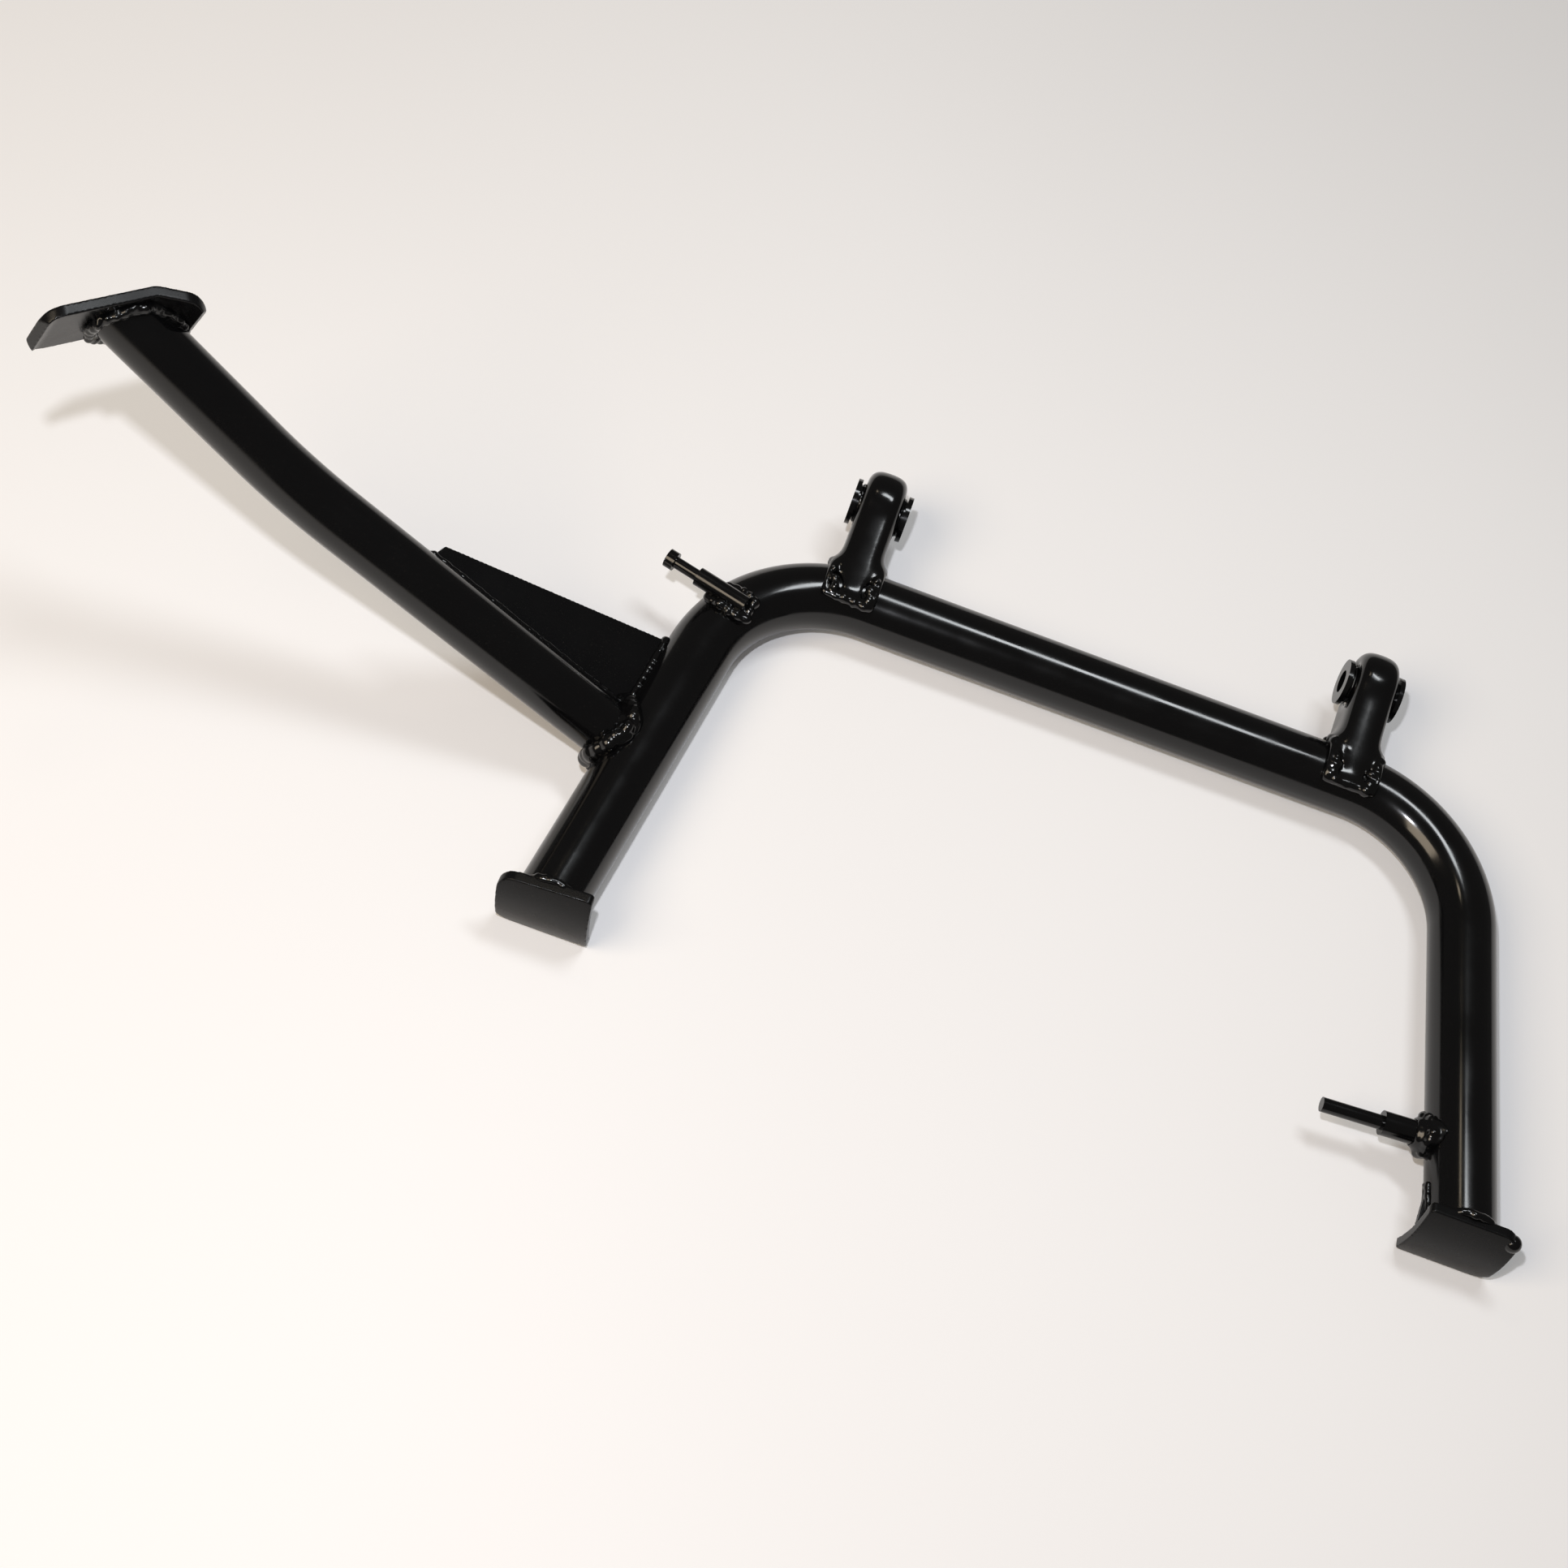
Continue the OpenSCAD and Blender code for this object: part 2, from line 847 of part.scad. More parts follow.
// Weld over the crossbar and the bend beside it, round the stem of an ear
module ear_weld(x) {
    side = x < 0 ? 1 : 0;
    difference() {
        intersection() {
            ear_frame(x)
                translate([-ear_w / 2 - ear_bead, -ear_lap - ear_bead, 0])
                    cube([ear_w + 2 * ear_bead, tube_r + ear_lap + 3 * ear_bead, tube_r + ear_bead]);
            union() {
                cross_bar(tube_r + ear_bead);
                mirror([side, 0, 0])
                    bend_bar(tube_r + ear_bead);
            }
        }
        cross_bar(tube_r);
        mirror([side, 0, 0])
            bend_bar(tube_r);
        ear_frame(x)
            translate([-ear_w / 2, -ear_lap, -big / 2])
                cube([ear_w, big, big]);
    }
}

module left_ear_weld() {
    color(paint) lay()
        ear_weld(-left_ear_x);
}

module right_ear_weld() {
    color(paint) lay()
        ear_weld(right_ear_x);
}

module sleeve_weld(x) {
    pivot_frame(x)
        for (side = [0, 1])
            mirror([0, 0, side])
                translate([0, 0, ear_w / 2])
                    difference() {
                        cylinder(r1 = sleeve_od / 2 + sleeve_bead, r2 = sleeve_od / 2, h = sleeve_bead);
                        translate([0, 0, -sleeve_bead])
                            cylinder(d = sleeve_od, h = 3 * sleeve_bead);
                    }
}

module left_sleeve_weld() {
    color(paint) lay()
        sleeve_weld(-left_ear_x);
}

module right_sleeve_weld() {
    color(paint) lay()
        sleeve_weld(right_ear_x);
}

// Weld along both sides of the left peg where it crosses the bend
module left_peg_weld() {
    color(paint) lay()
        difference() {
            intersection() {
                left_peg_frame()
                    translate([0, 0, peg_bead / 2])
                        cylinder(d = left_peg_d + peg_bead, h = left_peg_body / 2);
                mirror([1, 0, 0])
                    bend_bar(tube_r + peg_bead / 2);
            }
            mirror([1, 0, 0])
                bend_bar(tube_r);
            left_peg_frame()
                cylinder(d = left_peg_d, h = left_peg_body);
        }
}

// Cone of weld at the foot of the collar
module right_peg_weld() {
    color(paint) lay()
        difference() {
            right_peg_frame()
                translate([0, 0, tube_r / 2])
                    cylinder(
                        r1 = collar_od / 2 + peg_bead,
                        r2 = collar_od / 2 + peg_bead_lip,
                        h = tube_r / 2 + peg_bead
                    );
            leg_bar(tube_r);
            right_peg_frame()
                cylinder(d = collar_od, h = big);
        }
}

main_tube();
tang_tube();
tread_pad();
gusset_plate();
left_foot_plate();
right_foot_plate();
right_foot_web();
left_ear();
right_ear();
left_pivot_sleeve();
right_pivot_sleeve();
left_outer_bush();
left_inner_bush();
right_inner_bush();
right_outer_bush();
left_spring_peg();
right_spring_peg();
right_peg_collar();
tang_weld();
tread_weld();
gusset_weld();
left_foot_weld();
right_foot_weld();
web_weld();
left_ear_weld();
right_ear_weld();
left_sleeve_weld();
right_sleeve_weld();
left_peg_weld();
right_peg_weld();
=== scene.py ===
import math
import random
import bmesh
import bpy
from mathutils import Matrix, Vector
from mathutils.bvhtree import BVHTree


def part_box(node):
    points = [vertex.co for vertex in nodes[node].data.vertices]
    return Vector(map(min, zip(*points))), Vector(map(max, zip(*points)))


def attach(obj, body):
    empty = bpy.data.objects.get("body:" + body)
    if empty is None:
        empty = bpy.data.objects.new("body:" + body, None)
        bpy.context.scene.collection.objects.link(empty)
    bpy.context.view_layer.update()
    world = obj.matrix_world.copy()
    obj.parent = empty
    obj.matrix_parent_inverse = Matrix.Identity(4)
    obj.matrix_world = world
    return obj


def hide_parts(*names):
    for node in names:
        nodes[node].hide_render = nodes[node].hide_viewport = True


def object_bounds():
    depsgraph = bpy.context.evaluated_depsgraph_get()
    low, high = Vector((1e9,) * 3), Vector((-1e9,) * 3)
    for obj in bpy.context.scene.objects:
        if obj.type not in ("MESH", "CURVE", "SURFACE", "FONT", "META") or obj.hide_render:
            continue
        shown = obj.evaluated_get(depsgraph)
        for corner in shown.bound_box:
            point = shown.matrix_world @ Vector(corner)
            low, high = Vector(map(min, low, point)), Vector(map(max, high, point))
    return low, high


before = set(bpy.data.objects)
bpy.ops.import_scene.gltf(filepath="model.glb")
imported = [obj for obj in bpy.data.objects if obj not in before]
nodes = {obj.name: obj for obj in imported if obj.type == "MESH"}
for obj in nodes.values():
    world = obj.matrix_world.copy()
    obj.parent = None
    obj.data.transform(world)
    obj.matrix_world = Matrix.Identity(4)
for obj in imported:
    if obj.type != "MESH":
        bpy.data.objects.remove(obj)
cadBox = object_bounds()
print("frame loaded with", len(nodes), "parts")


# small helpers for node trees

def addNode(tree, kind, x=0, y=0, **settings):
    node = tree.nodes.new(kind)
    node.location = (x, y)
    for key, value in settings.items():
        setattr(node, key, value)
    return node


def noiseTexture(tree, coords, scale, detail, x, y):
    noise = addNode(tree, "ShaderNodeTexNoise", x, y)
    noise.inputs["Scale"].default_value = scale
    noise.inputs["Detail"].default_value = detail
    tree.links.new(coords, noise.inputs["Vector"])
    return noise.outputs["Fac"]


def spread(tree, value, low, high, toLow, toHigh, x, y):  # maps a noise onto a useful range
    node = addNode(tree, "ShaderNodeMapRange", x, y)
    node.inputs["From Min"].default_value = low
    node.inputs["From Max"].default_value = high
    node.inputs["To Min"].default_value = toLow
    node.inputs["To Max"].default_value = toHigh
    tree.links.new(value, node.inputs["Value"])
    return node.outputs["Result"]


# black paint, in three coats: smooth on the tubes, duller on the plates, thick and lumpy on the welds

grit = {"speckScale": 1500, "speckDetail": 3, "speckFrom": (0.62, 0.78),
        "patchScale": 28, "patchDetail": 4, "patchFrom": (0.35, 0.75),
        "smearScale": 60, "smearDetail": 5, "smearFrom": (0.3, 0.7), "peelDetail": 2}
tubePaint = {"name": "glossBlackTubes", "black": (0.0025, 0.0025, 0.0028), "dust": (0.030, 0.027, 0.023),
             "sheen": (0.10, 0.18), "peelScale": 600, "peelDepth": 0.00003, "peelStrength": 0.08,
             "dustAmount": 0.56, "reflect": 0.5}
platePaint = {"name": "satinBlackPlates", "black": (0.0045, 0.0045, 0.0048), "dust": (0.040, 0.037, 0.033),
              "sheen": (0.22, 0.32), "peelScale": 520, "peelDepth": 0.00004, "peelStrength": 0.08,
              "dustAmount": 0.80, "reflect": 0.20}
weldPaint = {"name": "blackOverWeld", "black": (0.0025, 0.0025, 0.0028), "dust": (0.025, 0.022, 0.019),
             "sheen": (0.11, 0.20), "peelScale": 260, "peelDepth": 0.00010, "peelStrength": 0.12,
             "dustAmount": 0.48, "reflect": 0.5}


def makePaint(look):
    material = bpy.data.materials.new(look["name"])
    material.use_nodes = True
    tree = material.node_tree
    shader = tree.nodes["Principled BSDF"]
    shader.inputs["Specular IOR Level"].default_value = look["reflect"]
    coords = addNode(tree, "ShaderNodeTexCoord", -1200, 0).outputs["Object"]
    specks = noiseTexture(tree, coords, grit["speckScale"], grit["speckDetail"], -1000, 300)
    specks = spread(tree, specks, *grit["speckFrom"], 0, 1, -800, 300)
    patches = noiseTexture(tree, coords, grit["patchScale"], grit["patchDetail"], -1000, 100)
    patches = spread(tree, patches, *grit["patchFrom"], 0, 1, -800, 100)
    dusty = addNode(tree, "ShaderNodeMath", -600, 250, operation="MULTIPLY")
    tree.links.new(specks, dusty.inputs[0])
    tree.links.new(patches, dusty.inputs[1])
    amount = addNode(tree, "ShaderNodeMath", -450, 250, operation="MULTIPLY")
    amount.inputs[1].default_value = look["dustAmount"]
    tree.links.new(dusty.outputs[0], amount.inputs[0])
    colour = addNode(tree, "ShaderNodeMix", -250, 250, data_type="RGBA")
    colour.inputs["A"].default_value = (*look["black"], 1)
    colour.inputs["B"].default_value = (*look["dust"], 1)
    tree.links.new(amount.outputs[0], colour.inputs["Factor"])
    tree.links.new(colour.outputs["Result"], shader.inputs["Base Color"])
    smears = noiseTexture(tree, coords, grit["smearScale"], grit["smearDetail"], -1000, -100)
    smears = spread(tree, smears, *grit["smearFrom"], *look["sheen"], -800, -100)
    tree.links.new(smears, shader.inputs["Roughness"])
    peel = noiseTexture(tree, coords, look["peelScale"], grit["peelDetail"], -1000, -350)
    bump = addNode(tree, "ShaderNodeBump", -250, -350)
    bump.inputs["Strength"].default_value = look["peelStrength"]
    bump.inputs["Distance"].default_value = look["peelDepth"]
    tree.links.new(peel, bump.inputs["Height"])
    tree.links.new(bump.outputs["Normal"], shader.inputs["Normal"])
    return material


glossBlack = makePaint(tubePaint)
satinBlack = makePaint(platePaint)
weldBlack = makePaint(weldPaint)
print("paints mixed")


# finished pieces: at the origin, one material, riding the stand

def finishPiece(piece, material, slotName, *stoodFor):
    piece.data.materials.clear()
    piece.data.materials.append(material)
    for face in piece.data.polygons:
        face.material_index = 0
        face.use_smooth = True
    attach(piece, "root")
    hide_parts(*stoodFor)
    return piece


mergeWithin = 2e-6


def mergedCopy(nodeName):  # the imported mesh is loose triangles, so its copy is merged first
    mesh = bmesh.new()
    mesh.from_mesh(nodes[nodeName].data)
    bmesh.ops.remove_doubles(mesh, verts=mesh.verts, dist=mergeWithin)
    return mesh


def objectFrom(name, mesh):
    data = bpy.data.meshes.new(name)
    mesh.to_mesh(data)
    mesh.free()
    made = bpy.data.objects.new(name, data)
    bpy.context.scene.collection.objects.link(made)
    return made


def plainMesh(made):  # takes what the modifiers give as the mesh itself
    bpy.context.view_layer.update()
    result = bpy.data.meshes.new_from_object(made.evaluated_get(bpy.context.evaluated_depsgraph_get()))
    made.modifiers.clear()
    old = made.data
    made.data = result
    bpy.data.meshes.remove(old)
    return made


skin = {"flow": 0.5, "quickGrain": 2, "quickRounds": 4}


def soften(made, grain, rounds):  # one closed skin with its edges drawn round by the paint
    remesh = made.modifiers.new("skin", "REMESH")
    remesh.mode = "VOXEL"
    remesh.voxel_size = grain
    smooth = made.modifiers.new("flow", "SMOOTH")
    smooth.factor = skin["flow"]
    smooth.iterations = rounds
    return plainMesh(made)


# the two bent tubes, swept along their centre lines by a small node tree

def pipeTree():
    tree = bpy.data.node_groups.new("pipeAlongLine", "GeometryNodeTree")
    face = tree.interface
    face.new_socket("Geometry", in_out="INPUT", socket_type="NodeSocketGeometry")
    face.new_socket("Radius", in_out="INPUT", socket_type="NodeSocketFloat")
    face.new_socket("Sides", in_out="INPUT", socket_type="NodeSocketInt")
    face.new_socket("Material", in_out="INPUT", socket_type="NodeSocketMaterial")
    face.new_socket("Geometry", in_out="OUTPUT", socket_type="NodeSocketGeometry")
    given = addNode(tree, "NodeGroupInput", -600, 0)
    toCurve = addNode(tree, "GeometryNodeMeshToCurve", -400, 100)
    circle = addNode(tree, "GeometryNodeCurvePrimitiveCircle", -400, -100)
    sweep = addNode(tree, "GeometryNodeCurveToMesh", -200, 0)
    sweep.inputs["Fill Caps"].default_value = True
    realize = addNode(tree, "GeometryNodeRealizeInstances", 0, 0)
    paint = addNode(tree, "GeometryNodeSetMaterial", 200, 0)
    result = addNode(tree, "NodeGroupOutput", 400, 0)
    link = tree.links.new
    link(given.outputs["Geometry"], toCurve.inputs["Mesh"])
    link(given.outputs["Radius"], circle.inputs["Radius"])
    link(given.outputs["Sides"], circle.inputs["Resolution"])
    link(toCurve.outputs["Curve"], sweep.inputs["Curve"])
    link(circle.outputs["Curve"], sweep.inputs["Profile Curve"])
    link(sweep.outputs["Mesh"], realize.inputs["Geometry"])
    link(realize.outputs["Geometry"], paint.inputs["Geometry"])
    link(given.outputs["Material"], paint.inputs["Material"])
    link(paint.outputs["Geometry"], result.inputs["Geometry"])
    return tree


def addTree(made, tree, values):
    modifier = made.modifiers.new(tree.name, "NODES")
    modifier.node_group = tree
    for item in tree.interface.items_tree:
        if item.in_out == "INPUT" and item.name in values:
            modifier[item.identifier] = values[item.name]
    return modifier


standPose = {"tilt": math.radians(-1.6529), "leftEar": 0.1185, "pivotReach": 0.0425,
             "earTilt": math.radians(18)}
mainTube = {"radius": 0.014, "corner": 0.161, "splay": math.radians(8), "bend": 0.060, "legEnd": 0.180,
            "sides": 96, "bendSteps": 60, "legSteps": 30, "crossSteps": 50, "sink": 0.0018}
footLever = {"radius": 0.012, "drop": 0.107, "below": 0.005, "sweep": math.radians(2.6),
             "rise": math.radians(29.3), "run": 0.155, "bend": 0.210, "turn": math.radians(11), "tip": 0.045,
             "sides": 84, "lowSteps": 30, "bendSteps": 40, "tipSteps": 10, "sink": 0.0015}
endSearch = 0.06  # how far a tube's end looks for the part that it sits on

lay = (Matrix.Rotation(standPose["tilt"], 4, "X")
       @ Matrix.Translation((standPose["leftEar"],
                             -standPose["pivotReach"] * math.cos(standPose["earTilt"]),
                             -standPose["pivotReach"] * math.sin(standPose["earTilt"]))))


def lineObject(name, points):
    mesh = bmesh.new()
    corners = [mesh.verts.new(p) for p in points]
    for a, b in zip(corners, corners[1:]):
        mesh.edges.new((a, b))
    return objectFrom(name, mesh)


# slides an end's ring along the tube until it sits in a part
def endOn(made, sides, atStart, direction, nodeName, sink):
    target = BVHTree.FromBMesh(mergedCopy(nodeName))
    verts = made.data.vertices
    ring = range(sides) if atStart else range(len(verts) - sides, len(verts))
    reaches = {}
    for i in ring:
        hit, normal, face, reach = target.ray_cast(verts[i].co, direction, endSearch)
        if hit is not None:
            reaches[i] = reach
    spare = sum(reaches.values()) / len(reaches)
    for i in ring:
        verts[i].co += direction * (reaches.get(i, spare) + sink)


def outwardFaces(made):
    mesh = bmesh.new()
    mesh.from_mesh(made.data)
    bmesh.ops.recalc_face_normals(mesh, faces=mesh.faces)
    mesh.to_mesh(made.data)
    mesh.free()


pipeAlongLine = pipeTree()


def buildMainTube(look):
    turn = math.pi / 2 - look["splay"]
    setback = look["bend"] * math.tan(turn / 2)
    bendX = look["corner"] - setback
    right = []
    for i in range(look["bendSteps"] + 1):
        a = math.pi / 2 - turn * i / look["bendSteps"]
        right.append(Vector((bendX + look["bend"] * math.cos(a),
                             -look["bend"] + look["bend"] * math.sin(a),
                             0)))
    down = Vector((math.sin(look["splay"]), -math.cos(look["splay"]), 0))
    foot = right[-1] + down * ((look["legEnd"] + right[-1].y) / math.cos(look["splay"]))
    right += [right[-1].lerp(foot, (i + 1) / look["legSteps"]) for i in range(look["legSteps"])]
    left = [Vector((-p.x, p.y, 0)) for p in reversed(right)]
    crossSteps = look["crossSteps"]
    cross = [left[-1].lerp(right[0], (i + 1) / crossSteps) for i in range(crossSteps - 1)]
    tube = lineObject("mainTube", [lay @ p for p in left + cross + right])
    addTree(tube, pipeAlongLine, {"Radius": look["radius"], "Sides": look["sides"], "Material": glossBlack})
    plainMesh(tube)
    turned = lay.to_3x3()
    endOn(tube, look["sides"], True, turned @ Vector((-down.x, down.y, 0)), "left_foot_plate", look["sink"])
    endOn(tube, look["sides"], False, turned @ down, "right_foot_plate", look["sink"])
    outwardFaces(tube)
    return finishPiece(tube, glossBlack, "paint", "main_tube")


def buildFootLever(look):
    heading = math.pi - look["sweep"]
    splay = mainTube["splay"]
    root = Vector((-mainTube["corner"] - look["drop"] * math.sin(splay),
                   -look["drop"] * math.cos(splay),
                   -look["below"]))
    flat = Vector((math.cos(heading), math.sin(heading), 0))
    up = Vector((0, 0, 1))
    along = flat * math.cos(look["rise"]) + up * math.sin(look["rise"])
    lift = -flat * math.sin(look["rise"]) + up * math.cos(look["rise"])
    points = [root + along * look["run"] * i / look["lowSteps"] for i in range(look["lowSteps"] + 1)]
    for i in range(1, look["bendSteps"] + 1):
        a = look["turn"] * i / look["bendSteps"]
        points.append(root + along * (look["run"] + look["bend"] * math.sin(a))
                      + lift * look["bend"] * (1 - math.cos(a)))
    tipWay = along * math.cos(look["turn"]) + lift * math.sin(look["turn"])
    tipStart = points[-1]
    tipSteps = look["tipSteps"]
    points += [tipStart + tipWay * look["tip"] * (i + 1) / tipSteps for i in range(tipSteps)]
    lever = lineObject("footLever", [lay @ p for p in points])
    addTree(lever, pipeAlongLine, {"Radius": look["radius"], "Sides": look["sides"], "Material": glossBlack})
    plainMesh(lever)
    endOn(lever, look["sides"], False, lay.to_3x3() @ tipWay, "tread_pad", look["sink"])
    outwardFaces(lever)
    return finishPiece(lever, glossBlack, "paint", "tang_tube")


buildMainTube(mainTube)
buildFootLever(footLever)
print("tubes swept")


# plates: the part's own shape with soft painted edges

plates = {
    "treadPad": {"node": "tread_pad", "grain": 0.00040, "rounds": 4},
    "gussetPlate": {"node": "gusset_plate", "grain": 0.00050, "rounds": 3},
    "leftSole": {"node": "left_foot_plate", "grain": 0.00040, "rounds": 4},
    "rightSole": {"node": "right_foot_plate", "grain": 0.00040, "rounds": 4},
    "rightWeb": {"node": "right_foot_web", "grain": 0.00035, "rounds": 2},
}

for name, look in plates.items():
    piece = objectFrom(name, mergedCopy(look["node"]))
    soften(piece, look["grain"], look["rounds"])
    finishPiece(piece, satinBlack, "paint_plate", look["node"])
print("plates softened")


# weld beads: drops of metal laid along the seam where two parts meet, run together

dropSubdivisions = 3


def dropTree():
    tree = bpy.data.node_groups.new("dropsAlongSeam", "GeometryNodeTree")
    face = tree.interface
    face.new_socket("Geometry", in_out="INPUT", socket_type="NodeSocketGeometry")
    face.new_socket("Spacing", in_out="INPUT", socket_type="NodeSocketFloat")
    face.new_socket("Drop radius", in_out="INPUT", socket_type="NodeSocketFloat")
    face.new_socket("Smallest", in_out="INPUT", socket_type="NodeSocketVector")
    face.new_socket("Largest", in_out="INPUT", socket_type="NodeSocketVector")
    face.new_socket("Seed", in_out="INPUT", socket_type="NodeSocketInt")
    face.new_socket("Material", in_out="INPUT", socket_type="NodeSocketMaterial")
    face.new_socket("Geometry", in_out="OUTPUT", socket_type="NodeSocketGeometry")
    given = addNode(tree, "NodeGroupInput", -800, 0)
    toCurve = addNode(tree, "GeometryNodeMeshToCurve", -600, 100)
    resample = addNode(tree, "GeometryNodeResampleCurve", -400, 100, mode="LENGTH")
    drop = addNode(tree, "GeometryNodeMeshIcoSphere", -400, -100)
    drop.inputs["Subdivisions"].default_value = dropSubdivisions
    size = addNode(tree, "FunctionNodeRandomValue", -400, -300, data_type="FLOAT_VECTOR")
    place = addNode(tree, "GeometryNodeInstanceOnPoints", -200, 0)
    realize = addNode(tree, "GeometryNodeRealizeInstances", 0, 0)
    paint = addNode(tree, "GeometryNodeSetMaterial", 200, 0)
    result = addNode(tree, "NodeGroupOutput", 400, 0)
    link = tree.links.new
    link(given.outputs["Geometry"], toCurve.inputs["Mesh"])
    link(toCurve.outputs["Curve"], resample.inputs["Curve"])
    link(given.outputs["Spacing"], resample.inputs["Length"])
    link(given.outputs["Drop radius"], drop.inputs["Radius"])
    link(given.outputs["Smallest"], size.inputs[0])
    link(given.outputs["Largest"], size.inputs[1])
    link(given.outputs["Seed"], size.inputs["Seed"])
    link(resample.outputs["Curve"], place.inputs["Points"])
    link(drop.outputs["Mesh"], place.inputs["Instance"])
    link(size.outputs[0], place.inputs["Scale"])
    link(place.outputs["Instances"], realize.inputs["Geometry"])
    link(realize.outputs["Geometry"], paint.inputs["Geometry"])
    link(given.outputs["Material"], paint.inputs["Material"])
    link(paint.outputs["Geometry"], result.inputs["Geometry"])
    return tree


seat = {"within": 0.0003, "facing": -0.7}


# closed lines round the face of one part that sits on another, longest first
def seamLoops(nodeName, otherName):
    mesh = mergedCopy(nodeName)
    mesh.faces.ensure_lookup_table()
    other = BVHTree.FromBMesh(mergedCopy(otherName))
    seated = set()
    for face in mesh.faces:
        hit, normal, index, distance = other.find_nearest(face.calc_center_median())
        if distance < seat["within"] and face.normal.dot(normal) < seat["facing"]:
            seated.add(face.index)
    nextTo = {}
    outward = {}
    for edge in mesh.edges:
        if len(edge.link_faces) != 2:
            continue
        inside = [f.index in seated for f in edge.link_faces]
        if inside[0] == inside[1]:
            continue
        wall = edge.link_faces[1 if inside[0] else 0]
        a, b = edge.verts
        nextTo.setdefault(a, []).append(b)
        nextTo.setdefault(b, []).append(a)
        for vert in (a, b):
            outward[vert] = outward.get(vert, Vector()) + wall.normal.normalized()
    loops = []
    left = set(nextTo)
    while left:
        start = min(left, key=lambda v: v.index)
        loop = [start]
        left.discard(start)
        here = start
        while True:
            onward = [v for v in nextTo[here] if v in left]
            if not onward:
                break
            here = onward[0]
            left.discard(here)
            loop.append(here)
        if len(loop) > 3:
            line = []
            for vert in loop:
                hit, normal, index, distance = other.find_nearest(vert.co)
                line.append((vert.co.copy(), (outward[vert].normalized() + normal).normalized()))
            loops.append(line)
    mesh.free()
    loops.sort(key=lambda line: -sum((p[0] - q[0]).length for p, q in zip(line, line[1:])))
    return loops


dropsAlongSeam = dropTree()

# each run is (drop radius, spacing, distance outward, spread of size), in millimetres
fine = (2.0, 1.8, 0.6, 0.18)
ring = (0.9, 1.1, 0.1, 0.15)
scales = (2.4, 5.0, 1.8, 0.35)
welds = {
    "leverWeld": {"nodes": ["tang_weld"], "seams": [("tang_tube", "main_tube", 1)],
                  "runs": [(4.4, 1.8, 0.3, 0.12), (3.2, 3.6, 3.0, 0.35)],
                  "over": ["tang_weld"], "flow": (0.0006, 16)},
    "treadWeld": {"nodes": ["tread_weld"], "seams": [("tang_tube", "tread_pad", 1)],
                  "runs": [(2.6, 2.2, 0.8, 0.25), (2.0, 3.6, 2.2, 0.35)]},
    "gussetWeld": {"nodes": ["gusset_weld"],
                   "seams": [("gusset_plate", "tang_tube", 1), ("gusset_plate", "main_tube", 1)],
                   "runs": [(1.9, 1.9, 0.4, 0.18)]},
    "leftSoleWeld": {"nodes": ["left_foot_weld"], "seams": [("main_tube", "left_foot_plate", 1)],
                     "runs": [fine]},
    "rightSoleWeld": {"nodes": ["right_foot_weld"], "seams": [("main_tube", "right_foot_plate", 1)],
                      "runs": [fine],
                      "lobe": {"node": "right_foot_plate", "towards": (1, 0.9, 0.1), "inset": 0.0026,
                               "radius": 0.0038}},
    "webWeld": {"nodes": ["web_weld"], "seams": [("right_foot_web", "main_tube", 1)],
                "runs": [(1.4, 1.6, 0.3, 0.18)]},
    "leftSleeveWeld": {"nodes": ["left_sleeve_weld"], "seams": [("left_ear", "left_pivot_sleeve", 2)],
                       "runs": [ring]},
    "rightSleeveWeld": {"nodes": ["right_sleeve_weld"], "seams": [("right_ear", "right_pivot_sleeve", 2)],
                        "runs": [ring]},
    "leftPegWeld": {"nodes": ["left_peg_weld"], "seams": [("left_spring_peg", "main_tube", 1)],
                    "runs": [(2.6, 1.8, 0.6, 0.25), (2.6, 4.5, 2.6, 0.30)]},
    "rightPegWeld": {"nodes": ["right_peg_weld"], "seams": [("right_peg_collar", "main_tube", 1)],
                     "runs": [(3.0, 1.8, 1.0, 0.12), (2.2, 3.0, 3.0, 0.30)],
                     "over": ["right_peg_weld"], "flow": (0.0006, 16)},
}

beadShape = {"wander": 0.6, "fullWanderFrom": 3, "grain": 0.00045, "rounds": 17, "clear": 0.0006}
mm = 0.001
firstWeldSeed, firstEarSeed, runSeedStep = 11, 31, 40


def drops(name, look, loops, run, seed):  # one run of drops along every loop
    radius, spacing, out, spreadOfSize = run
    hand = random.Random(seed)
    path = bmesh.new()
    for line in loops:
        corners = []
        for spot, outward in line:
            reach = beadShape["wander"] * mm * min(1, radius / beadShape["fullWanderFrom"])
            jitter = Vector([hand.uniform(-1, 1) for _ in range(3)]) * reach
            corners.append(path.verts.new(spot + outward * out * mm + jitter))
        for a, b in zip(corners, corners[1:] + corners[:1]):
            path.edges.new((a, b))
    bead = objectFrom(name, path)
    addTree(bead, dropsAlongSeam, {"Spacing": spacing * mm, "Drop radius": radius * mm,
                                   "Smallest": (1 - spreadOfSize,) * 3, "Largest": (1 + spreadOfSize,) * 3,
                                   "Seed": seed, "Material": weldBlack})
    return plainMesh(bead)


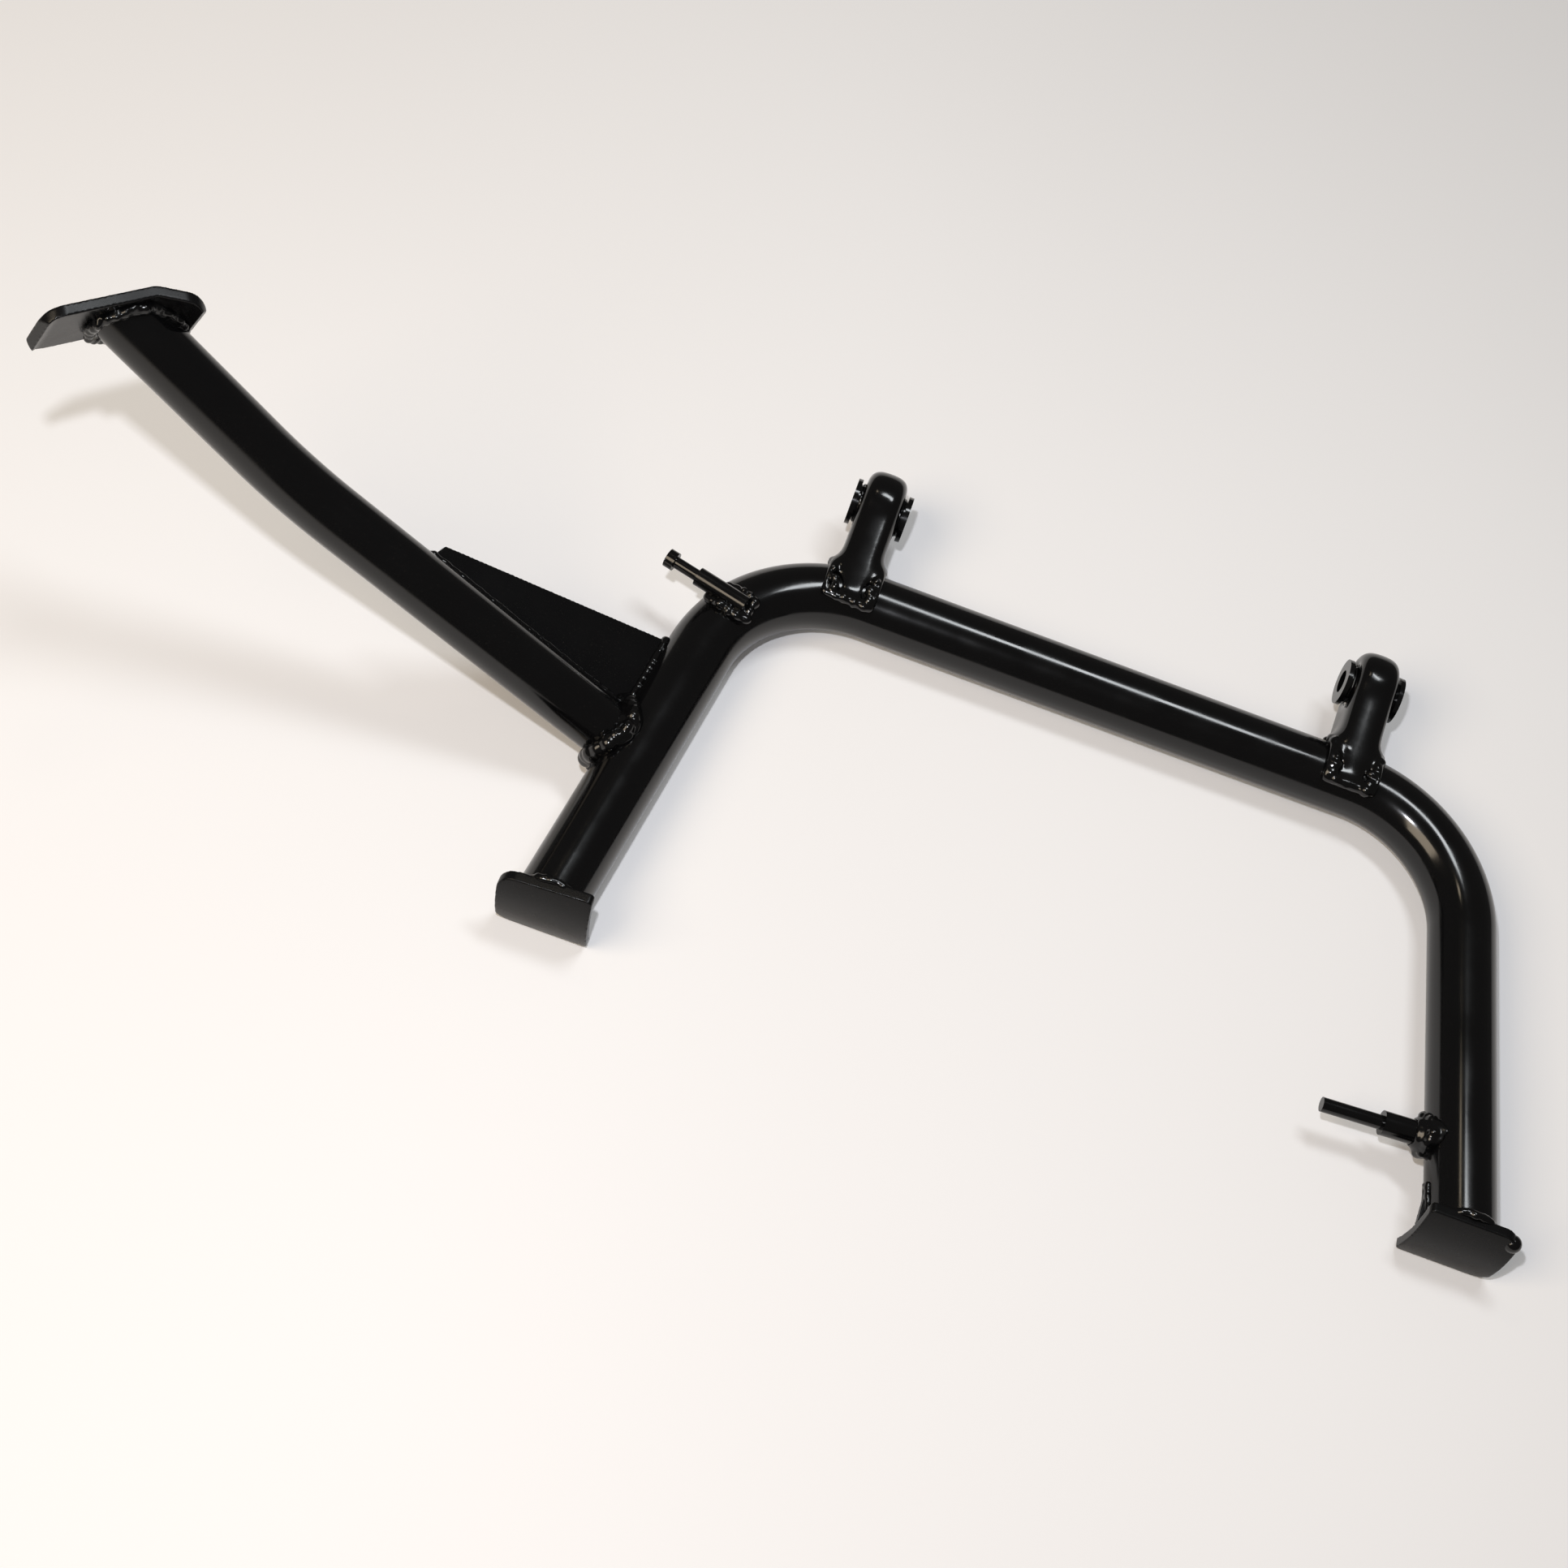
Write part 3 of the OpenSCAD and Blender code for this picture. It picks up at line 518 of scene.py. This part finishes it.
def buildWeld(name, look, seed):
    loops = []
    for nodeName, otherName, count in look["seams"]:
        found = seamLoops(nodeName, otherName)
        if count > 1:  # the rings on the outer faces of the ear
            middle = sum(corner.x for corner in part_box(nodeName)) / 2
            found.sort(key=lambda line: -abs(line[0][0].x - middle))
        loops += found[:count]
    joined = bmesh.new()
    for number, run in enumerate(look["runs"]):
        bead = drops(name, look, loops, run, seed + runSeedStep * number)
        joined.from_mesh(bead.data)
        bpy.data.objects.remove(bead)
    if "lobe" in look:  # a blob of spatter run down to a corner of the plate
        lobe = look["lobe"]
        way = Vector(lobe["towards"]).normalized()
        corner = max((v.co for v in nodes[lobe["node"]].data.vertices), key=lambda p: p.dot(way))
        bmesh.ops.create_icosphere(joined, subdivisions=dropSubdivisions, radius=lobe["radius"],
                                   matrix=Matrix.Translation(corner - way * lobe["inset"]))
    if "over" in look:  # the metal is laid over these, and one skin of paint covers both
        under = bmesh.new()
        for nodeName in look["over"]:
            part = mergedCopy(nodeName)
            kept = bpy.data.meshes.new("kept")
            part.to_mesh(kept)
            part.free()
            under.from_mesh(kept)
            bpy.data.meshes.remove(kept)
        base = soften(objectFrom("base", under), *look["flow"])
        joined.from_mesh(base.data)
        bpy.data.objects.remove(base)
    bead = soften(objectFrom(name, joined), beadShape["grain"], beadShape["rounds"])
    lowest = cadBox[0].z + beadShape["clear"]
    for vert in bead.data.vertices:  # no bead hangs down into the floor
        vert.co.z = max(vert.co.z, lowest)
    length = sum((p[0] - q[0]).length for line in loops for p, q in zip(line, line[1:]))
    print("  ", name, round(length / mm), "mm of bead")
    return finishPiece(bead, look.get("paint", weldBlack), look.get("slot", "paint_weld"), *look["nodes"])


for number, (name, look) in enumerate(welds.items()):
    buildWeld(name, look, firstWeldSeed + number)
print("welds laid")

# the ears flow into their welds under one coat, so each is drawn with its own weld
ears = {
    "leftEar": {"nodes": ["left_ear", "left_ear_weld"], "seams": [("left_ear", "main_tube", 1)],
                "runs": [scales], "over": ["left_ear", "left_ear_weld"], "flow": (0.0009, 80),
                "paint": glossBlack, "slot": "paint"},
    "rightEar": {"nodes": ["right_ear", "right_ear_weld"], "seams": [("right_ear", "main_tube", 1)],
                 "runs": [scales], "over": ["right_ear", "right_ear_weld"], "flow": (0.0009, 80),
                 "paint": glossBlack, "slot": "paint"},
}

for number, (name, look) in enumerate(ears.items()):
    buildWeld(name, look, firstEarSeed + number)
print("ears drawn into their welds")


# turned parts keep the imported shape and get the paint

turnedParts = ("left_pivot_sleeve", "right_pivot_sleeve",
               "left_outer_bush", "left_inner_bush", "right_inner_bush", "right_outer_bush",
               "left_spring_peg", "right_spring_peg", "right_peg_collar")
for nodeName in turnedParts:
    for slot in nodes[nodeName].material_slots:
        slot.material = glossBlack
print("turned parts painted")


# floor, light and camera

# paintedGlow is painted light: a faint glow of the floor that only the camera sees
floorLook = {"half": 4.0, "colour": (0.92, 0.915, 0.92), "shade": (0.88, 0.87, 0.87),
             "cloudScale": 1.5, "cloudDetail": 2, "cloudFrom": (0.3, 0.7),
             "paintedGlow": 0.09, "paintedGlowColour": (1, 0.97, 0.96), "roughness": 0.9, "reflect": 0.1}


def buildFloor(look):
    low = cadBox[0].z
    mesh = bmesh.new()
    half = look["half"]
    corners = ((-half, -half), (half, -half), (half, half), (-half, half))
    mesh.faces.new([mesh.verts.new((x, y, low)) for x, y in corners])
    floor = objectFrom("floor", mesh)
    material = bpy.data.materials.new("paleFloor")
    material.use_nodes = True
    tree = material.node_tree
    shader = tree.nodes["Principled BSDF"]
    shader.inputs["Roughness"].default_value = look["roughness"]
    shader.inputs["Specular IOR Level"].default_value = look["reflect"]
    coords = addNode(tree, "ShaderNodeTexCoord", -800, 0).outputs["Object"]
    cloud = noiseTexture(tree, coords, look["cloudScale"], look["cloudDetail"], -600, 0)
    cloud = spread(tree, cloud, *look["cloudFrom"], 0, 1, -400, 0)
    colour = addNode(tree, "ShaderNodeMix", -200, 0, data_type="RGBA")
    colour.inputs["A"].default_value = (*look["colour"], 1)
    colour.inputs["B"].default_value = (*look["shade"], 1)
    tree.links.new(cloud, colour.inputs["Factor"])
    tree.links.new(colour.outputs["Result"], shader.inputs["Base Color"])
    # painted light: the floor glows a little for camera rays only, so it and the shadows on it show brighter
    # than the lamps light them
    shader.inputs["Emission Color"].default_value = (*look["paintedGlowColour"], 1)
    seen = addNode(tree, "ShaderNodeLightPath", -400, -300).outputs["Is Camera Ray"]
    tree.links.new(spread(tree, seen, 0, 1, 0, look["paintedGlow"], -200, -300), shader.inputs["Emission Strength"])
    floor.data.materials.append(material)


lamps = {
    "overheadLamp": {"at": (0.235, 0.34, 1.55), "aim": (0.07, -0.06, 0), "size": (0.62, 0.22), "power": 6.8,
                     "colour": (0.93, 0.97, 1.0)},
    "nearLamp": {"at": (-0.1025, -0.5196, 0.9042), "aim": (0.0, -0.1, 0), "size": (0.03, 0.03), "power": 4.1,
                 "colour": (0.92, 0.94, 1.0)},
    "fillLamp": {"at": (-0.9, -0.9, 1.3), "aim": (0.1, -0.05, 0), "size": (0.9, 0.9), "power": 13.5,
                 "colour": (1.0, 0.84, 0.64)},
    "warmLamp": {"at": (-0.42, 0.45, 1.40), "aim": (0.0, -0.1, 0), "size": (0.14, 0.14), "power": 0.35,
                 "colour": (1.0, 0.84, 0.62)},
}


def buildLamp(name, look):
    data = bpy.data.lights.new(name, "AREA")
    data.shape = "RECTANGLE"
    data.size, data.size_y = look["size"]
    data.energy = look["power"]
    data.color = look["colour"]
    lamp = bpy.data.objects.new(name, data)
    bpy.context.scene.collection.objects.link(lamp)
    lamp.location = look["at"]
    lamp.rotation_euler = (Vector(look["aim"]) - Vector(look["at"])).to_track_quat("-Z", "Y").to_euler()


worldLook = {"colour": (1.0, 0.95, 0.89), "strength": 0.08}


def buildWorld(look):
    world = bpy.data.worlds.new("studio")
    bpy.context.scene.world = world
    world.use_nodes = True
    background = world.node_tree.nodes["Background"]
    background.inputs["Color"].default_value = (*look["colour"], 1)
    background.inputs["Strength"].default_value = look["strength"]


cameraLook = {"at": (-0.011692, -0.638229, 0.835625), "turn": (28.8275, -10.7329, 17.1979),
              "lens": 55.9006, "sensor": 36}


def buildCamera(look):
    data = bpy.data.cameras.new("camera")
    data.lens = look["lens"]
    data.sensor_width = look["sensor"]
    camera = bpy.data.objects.new("camera", data)
    bpy.context.scene.collection.objects.link(camera)
    camera.location = look["at"]
    camera.rotation_euler = [math.radians(a) for a in look["turn"]]
    bpy.context.scene.camera = camera


buildFloor(floorLook)
for name, look in lamps.items():
    buildLamp(name, look)
buildWorld(worldLook)
buildCamera(cameraLook)
bpy.context.scene.view_settings.view_transform = "Standard"
print("floor, light and camera set")
